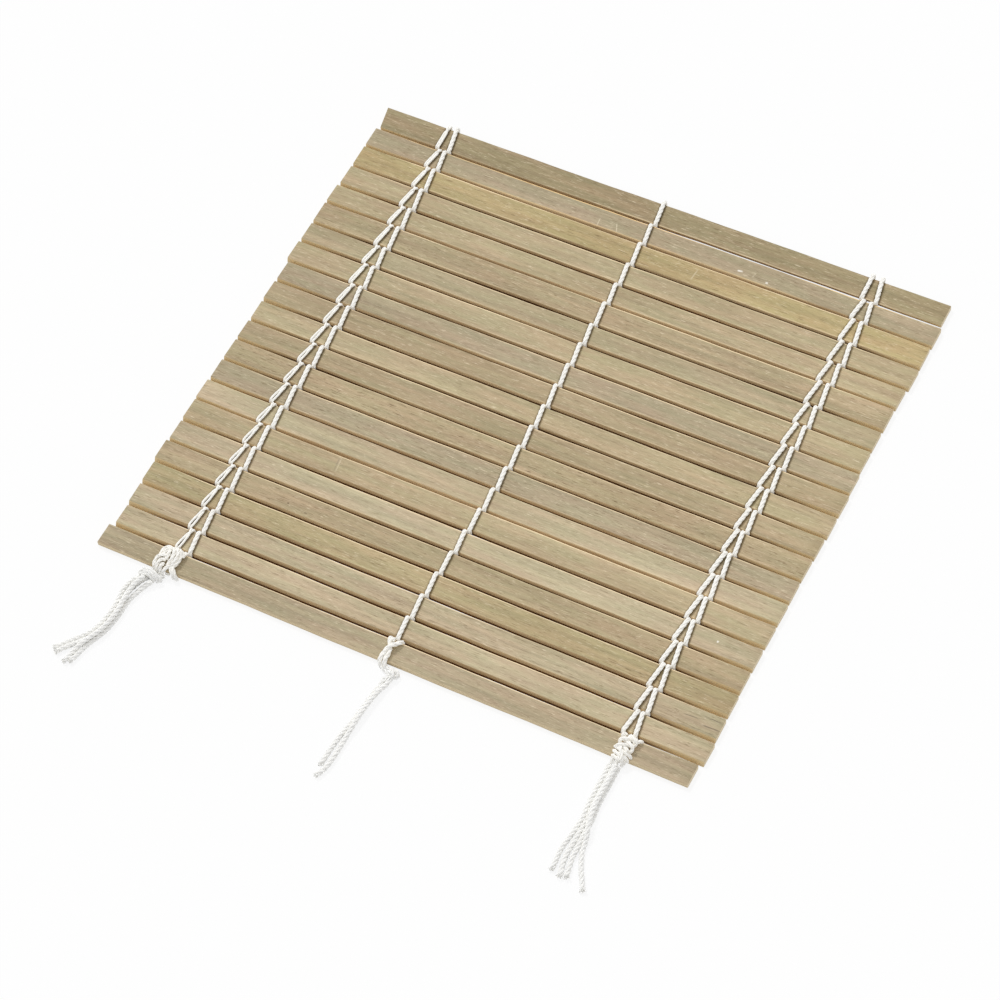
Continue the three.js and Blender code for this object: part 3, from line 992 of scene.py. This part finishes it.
def markShare(tree, coords, breaks, at, sizes, degrees, strength):
    turn = math.radians(degrees)
    directions = ((math.cos(turn), math.sin(turn)), (-math.sin(turn), math.cos(turn)))
    share = mask(tree, breaks, *markFade["breaks"], strength)
    for direction, size in zip(directions, sizes):
        away = distanceFrom(tree, coords, at, Vector(direction))
        outside = mask(tree, away, markFade["inner"] * size * mm, markFade["outer"] * size * mm)
        share = math2(tree, "MULTIPLY", share, inverse(tree, outside))
    return share


def grainNoises(tree, coords, dice):
    noises = {}
    for name, grain in grains.items():
        scale = (grain["along"], grain["across"], grain["across"])
        offset = [dice.uniform(-grainShift, grainShift) for axis in range(3)]
        noises[name] = noise(tree, coords, scale, offset, grain["detail"], grain["roughness"])
    return noises


def grainTint(tree, noises, tone, speckle):
    stops = [(at, scaled(tone, share)) for at, share in streakStops]
    tint = ramp(tree, noises["streaks"], stops)
    for name, grain in grainTints.items():
        tint = mixColour(tree, grain["share"], tint, ramp(tree, noises[name], grain["stops"]), "MULTIPLY")
    fleckTop = flecks["least"] + flecks["more"] * speckle
    fleckShare = mask(tree, noises["dashes"], *flecks["from"], fleckTop)
    tint = mixColour(tree, fleckShare, tint, bambooLook["fleck"])
    glintShare = mask(tree, noises["glints"], *glints["from"], glints["share"])
    return mixColour(tree, glintShare, tint, bambooLook["cream"])


def endLightTint(tree, alongX, tint, index):
    for end in endLight.values():
        towardsEnd = math2(tree, "MULTIPLY", alongX, end["way"])
        share = mask(tree, towardsEnd, *[x * mm for x in end["reach"]])
        tone = lerp(*end["tones"], smooth(*end["slats"], index))
        tint = mixColour(tree, share, tint, [tone, tone, tone, 1], "MULTIPLY")
    return tint


def sideTint(tree, streaks, height, normalY, gapEndsLit, tint, index):
    # painted shade in the gaps: each gap's tone for the side face, darkening towards the foot; towards the
    # slat ends and on the open faces of the first and last slat the foot shade gives way
    gapLook = gapLooks[gapKinds[min(index, slatCount - 2)]]
    tones = [scaled(bambooLook[name], gapLook["tone"]) for name in ("edgeDark", "edge")]
    edge = ramp(tree, streaks, list(zip(bambooLook["edgeStops"], tones)))
    edge = mixColour(tree, gapEndsLit, edge, bambooLook["edgeLitAtGapEnds"])
    raised = mask(tree, height, *[z * mm for z in gapLook["rise"]])
    raised = math2(tree, "MAXIMUM", raised, gapEndsLit)
    openSide = {0: 1, slatCount - 1: -1}.get(index, 0)
    if openSide:
        faced = math2(tree, "GREATER_THAN", math2(tree, "MULTIPLY", normalY, openSide), 0)
        raised = math2(tree, "MAXIMUM", raised, faced)
        edge = mixColour(tree, faced, edge, bambooLook["front"] if openSide < 0 else tint)
    foot = [gapLook["foot"] * part for part in bambooLook["gapFootShade"]] + [1]
    gapFootShade = ramp(tree, raised, [(0, foot), (1, white)])
    return mixColour(tree, 1.0, edge, gapFootShade, "MULTIPLY")


# painted highlights along the far and near top edges, broken up by the broad grain
def rimHighlightShare(tree, broad, index):
    across = addNode(tree, "ShaderNodeAttribute", attribute_name="across").outputs["Fac"]
    farRim = mask(tree, across, *bambooLook["farRimFrom"], bambooLook["farRims"].get(index, 1))
    nearTop = lerp(*bambooLook["nearRim"], index / slatCount)
    toNear = math2(tree, "MULTIPLY", across, -1)
    nearRim = mask(tree, toNear, *bambooLook["nearRimFrom"], nearTop)
    rimHighlights = math2(tree, "MAXIMUM", farRim, nearRim)
    return math2(tree, "MULTIPLY", rimHighlights, mask(tree, broad, *bambooLook["rimBreaks"]))


def makeBamboo(name, index):
    look = bambooLook
    tone = scaled(bambooTones[slatTones[index]], look["lift"] * slatLifts.get(index, 1))
    material, tree, shader = newMaterial(name)
    texture = addNode(tree, "ShaderNodeTexCoord")
    coords = texture.outputs["Object"]
    place = partsOf(tree, coords)
    normal = partsOf(tree, texture.outputs["Normal"])
    noises = grainNoises(tree, coords, random.Random(seeds["grain"] + index))
    tint = grainTint(tree, noises, tone, speckled.get(index, flecks["plain"]))
    # painted light and shade towards the slat ends
    tint = endLightTint(tree, place["X"], tint, index)
    sideways = mask(tree, absolute(tree, normal["Y"]), *look["turned"])
    endways = mask(tree, absolute(tree, normal["X"]), *look["turned"])
    # painted light towards the slat ends, where the gaps are lit; there the painted gap shade and the painted
    # rim highlights give way
    gapEndsLitReach = [x * mm for x in look["gapEndsLit"]]
    gapEndsLit = mask(tree, absolute(tree, place["X"]), *gapEndsLitReach, look["gapEndsLitShare"])
    edge = sideTint(tree, noises["streaks"], place["Z"], normal["Y"], gapEndsLit, tint, index)
    tint = mixColour(tree, sideways, tint, edge)
    # painted highlights along the top edges
    rimHighlights = rimHighlightShare(tree, noises["broad"], index)
    for away in (sideways, gapEndsLit):
        rimHighlights = math2(tree, "MULTIPLY", rimHighlights, inverse(tree, away))
    tint = mixColour(tree, rimHighlights, tint, look["firstRimHighlight" if index == 1 else "rimHighlight"])
    tint = mixColour(tree, endways, tint, look["end"])
    # painted shade beside the strings, left off the front slat
    if index < slatCount - 1:
        tint = mixColour(tree, 1.0, tint, shadeBesideStrings(tree, coords, index), "MULTIPLY")
    for at, sizes, degrees, colour, strength in marks:
        if nearEdges[index] <= at[1] <= farEdges[index]:
            share = markShare(tree, coords, noises["glints"], at, sizes, degrees, strength)
            tint = mixColour(tree, share, tint, colour)
    tree.links.new(tint, shader.inputs["Base Color"])
    coat = mask(tree, noises["fine"], *look["coatFrom"], look["coat"])
    coat = math2(tree, "MULTIPLY", coat, inverse(tree, sideways))
    tree.links.new(coat, shader.inputs["Coat Weight"])
    setInputs(shader, look["shader"])
    addBump(tree, shader, noises["fine"], look["bump"])
    return material


# Slats: one blank is modelled, and each slat is a copy brought to its own size
blankSize = {
    "length": 240,
    "width": 8.5,
    "edge": 0.26,
    "segments": 2,
    "roundness": 0.5,
    "rows": (-3, -2, -1, 0, 1, 2, 3),
    "rowGap": 1.15,
    "heights": (0.75, 1.4),
    "firstColumn": 1,
    "lastColumn": 0.8,
}
lineColumns = {"places": (-89, 0.6, 91.7), "reach": 6.6, "step": 0.44, "coarse": 5}


def columnPlaces():
    places = []
    half = blankSize["length"] / 2
    x = -half + blankSize["firstColumn"]
    while x < half - blankSize["lastColumn"]:
        places.append(x)
        near = min(abs(x - line) for line in lineColumns["places"])
        if near < lineColumns["reach"]:
            x += lineColumns["step"]
        else:
            x += min(lineColumns["coarse"], near - lineColumns["reach"] + lineColumns["step"])
    return places


def cutThrough(place, normal):
    bpy.ops.mesh.select_all(action="SELECT")
    bpy.ops.mesh.bisect(plane_co=[part * mm for part in place], plane_no=normal)


def makeBlank():
    bpy.ops.object.select_all(action="DESELECT")
    bpy.ops.mesh.primitive_cube_add(size=1, location=(0, 0, slatTop / 2 * mm))
    blank = bpy.context.view_layer.objects.active
    blank.name = "slat_blank"
    blank.scale = (blankSize["length"] * mm, blankSize["width"] * mm, slatTop * mm)
    bpy.ops.object.transform_apply(location=True, rotation=True, scale=True)
    bpy.ops.object.mode_set(mode="EDIT")
    bpy.ops.mesh.select_all(action="SELECT")
    bpy.ops.mesh.bevel(
        offset=blankSize["edge"] * mm,
        segments=blankSize["segments"],
        profile=blankSize["roundness"],
    )
    for x in columnPlaces():
        cutThrough((x, 0, 0), (1, 0, 0))
    for row in blankSize["rows"]:
        cutThrough((0, row * blankSize["rowGap"], 0), (0, 1, 0))
    for height in blankSize["heights"]:
        cutThrough((0, 0, height), (0, 0, 1))
    bpy.ops.object.mode_set(mode="OBJECT")
    return blank


# Waves, seats for the strings, flared sides and the cut of the ends
slatWaves = {"side": (0.07, (150, 60, 23)), "top": (0.03, (110, 47)), "phase": 6.3, "fall": 0.5}
seat = {"depth": 0.7, "inner": 0.8, "outer": 1.35, "below": 0.3}
topAbove = 1.5
# The near flare grows from the far slat to the front slat
slatFlare = {
    "near": (0.6, 1.1),
    "far": -0.3,
    "from": (0.25, 0.5),
    "back": (0.2, 0.38),
    "farBack": -0.05,
    "outside": 0.1,
}
# The far slat's lower near edge is planed away, and its left end is cut aslant
farSlatUndercut = {"from": -60, "to": 70, "left": -0.1, "right": 0.7}
farSlatEnd = {"from": -110, "to": -119, "slant": 1.9}
slatEnds = {"left": -100, "right": 103, "outer": (100, 119), "slant": 0.12}
smoothAngle = 40


def wave(dice, size, spans):
    parts = []
    for number, span in enumerate(spans):
        height = size / (1 + slatWaves["fall"] * number)
        parts.append((dice.uniform(0, slatWaves["phase"]), 2 * math.pi / span, height))
    return lambda x: sum(height * math.sin(phase + x * rate) for phase, rate, height in parts)


def seatLift(index, x, y):
    far, near = bends[index], bends[index + 1]
    share = (far - y) / (far - near)
    deepest = 0
    for string in strings.values():
        centre = lerp(diveAt(string, far), riseAt(string, near), share)
        deepest = max(deepest, 1 - smooth(seat["inner"], seat["outer"], abs(x - centre)))
    return deepest


def stretchedEnd(x, start, end, blankEnd):
    return start + (x - start) * (end - start) / (blankEnd - start)


def flareAt(index, x, across):
    if across > 0:
        return 0 if index == 0 else slatFlare["far"]
    if index == slatCount - 1:
        return 0
    if index == 0:
        cut = farSlatUndercut
        return lerp(cut["left"], cut["right"], smooth(cut["from"], cut["to"], x))
    return -lerp(*slatFlare["near"], index / slatCount)


def closeAt(index, across):
    gap = index - 1 if across > 0 else index
    if gap < 0 or gap > slatCount - 2:
        return slatFlare["outside"]
    back = slatFlare["farBack"] if across > 0 else lerp(*slatFlare["back"], index / slatCount)
    return gapLooks[gapKinds[gap]]["close"] - back


def makeSlat(blank, index):
    dice = random.Random(seeds["slats"] + index)
    low, high = slatBoxes[index]
    name = f"bamboo_{index + 1:02d}"
    mesh = blank.data.copy()
    slat = bpy.data.objects.new(name, mesh)
    bpy.context.scene.collection.objects.link(slat)
    left, right = low[0] / mm, high[0] / mm
    width = farEdges[index] - nearEdges[index]
    centre = middles[index]
    farWave = wave(dice, *slatWaves["side"])
    nearWave = wave(dice, *slatWaves["side"])
    topWave = wave(dice, *slatWaves["top"])
    slant = dice.uniform(-slatEnds["slant"], slatEnds["slant"])
    half = blankSize["length"] / 2
    acrossSlat = mesh.attributes.new("across", "FLOAT", "POINT")
    for vertex in mesh.vertices:
        x, y, z = vertex.co / mm
        across = y / blankSize["width"]
        if x < slatEnds["left"]:
            x = stretchedEnd(x, slatEnds["left"], left, -half)
        elif x > slatEnds["right"]:
            x = stretchedEnd(x, slatEnds["right"], right, half)
        newX = x + slant * across * smooth(*slatEnds["outer"], abs(x))
        if index == 0 and x < farSlatEnd["from"]:
            cut = smooth(farSlatEnd["from"], farSlatEnd["to"], x)
            newX += farSlatEnd["slant"] * (0.5 - across) * cut
        newY = centre + across * (width + 2 * closeAt(index, across))
        toSide = smooth(*slatFlare["from"], abs(across))
        newY += flareAt(index, x, across) * toSide * (1 - z / slatTop)
        newY += (farWave(x) * max(across, 0) - nearWave(x) * min(across, 0)) * 2
        if z < seat["below"]:
            z += (seat["depth"] - z) * seatLift(index, x, newY)
        elif z > topAbove:
            z += topWave(x) * (0.5 + across)
        vertex.co = skewed(newX, newY, z) * mm
        acrossSlat.data[vertex.index].value = across
    only(slat)
    bpy.ops.object.shade_smooth_by_angle(angle=math.radians(smoothAngle))
    slat.data.materials.append(makeBamboo(name, index))
    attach(slat, slatNames[index])
    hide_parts(slatNames[index])


blank = makeBlank()
for index in range(slatCount):
    makeSlat(blank, index)
bpy.data.objects.remove(blank)
stageNote("slats laid")


# Floor, light and background
lightLook = {
    "world": 0.72,
    "sun": 1.2,
    "sunFrom": (-0.62, 0.5, 0.85),
    "sunSoft": 14,
    "floor": [0.95, 0.95, 0.95, 1],
    "floorSize": 8,
    "floorDrop": 0.02,
    "glow": 0.84,
}


def makeStage(look):
    bpy.ops.object.select_all(action="DESELECT")
    bpy.ops.mesh.primitive_plane_add(size=look["floorSize"], location=(0, 0, -look["floorDrop"] * mm))
    floor = bpy.context.view_layer.objects.active
    floor.name = "floor"
    material, tree, shader = newMaterial("floor_card")
    setInputs(shader, {"Base Color": look["floor"], "Roughness": 1, "Specular IOR Level": 0})
    glow = addNode(tree, "ShaderNodeEmission")
    path = addNode(tree, "ShaderNodeLightPath")
    mixed = addNode(tree, "ShaderNodeMixShader")
    share = math2(tree, "MULTIPLY", path.outputs["Is Camera Ray"], look["glow"])
    tree.links.new(share, mixed.inputs[0])
    tree.links.new(shader.outputs["BSDF"], mixed.inputs[1])
    tree.links.new(glow.outputs["Emission"], mixed.inputs[2])
    tree.links.new(mixed.outputs["Shader"], tree.nodes["Material Output"].inputs["Surface"])
    floor.data.materials.append(material)
    world = bpy.data.worlds.new("studio")
    bpy.context.scene.world = world
    world.use_nodes = True
    setInputs(world.node_tree.nodes["Background"], {"Color": white, "Strength": look["world"]})
    data = bpy.data.lights.new("sun", "SUN")
    data.energy = look["sun"]
    data.angle = math.radians(look["sunSoft"])
    sun = bpy.data.objects.new("sun", data)
    sun.location = look["sunFrom"]
    sun.rotation_euler = (-Vector(look["sunFrom"])).to_track_quat("-Z", "Y").to_euler()
    bpy.context.scene.collection.objects.link(sun)
    bpy.context.scene.view_settings.view_transform = "Standard"


makeStage(lightLook)
stageNote("stage set")
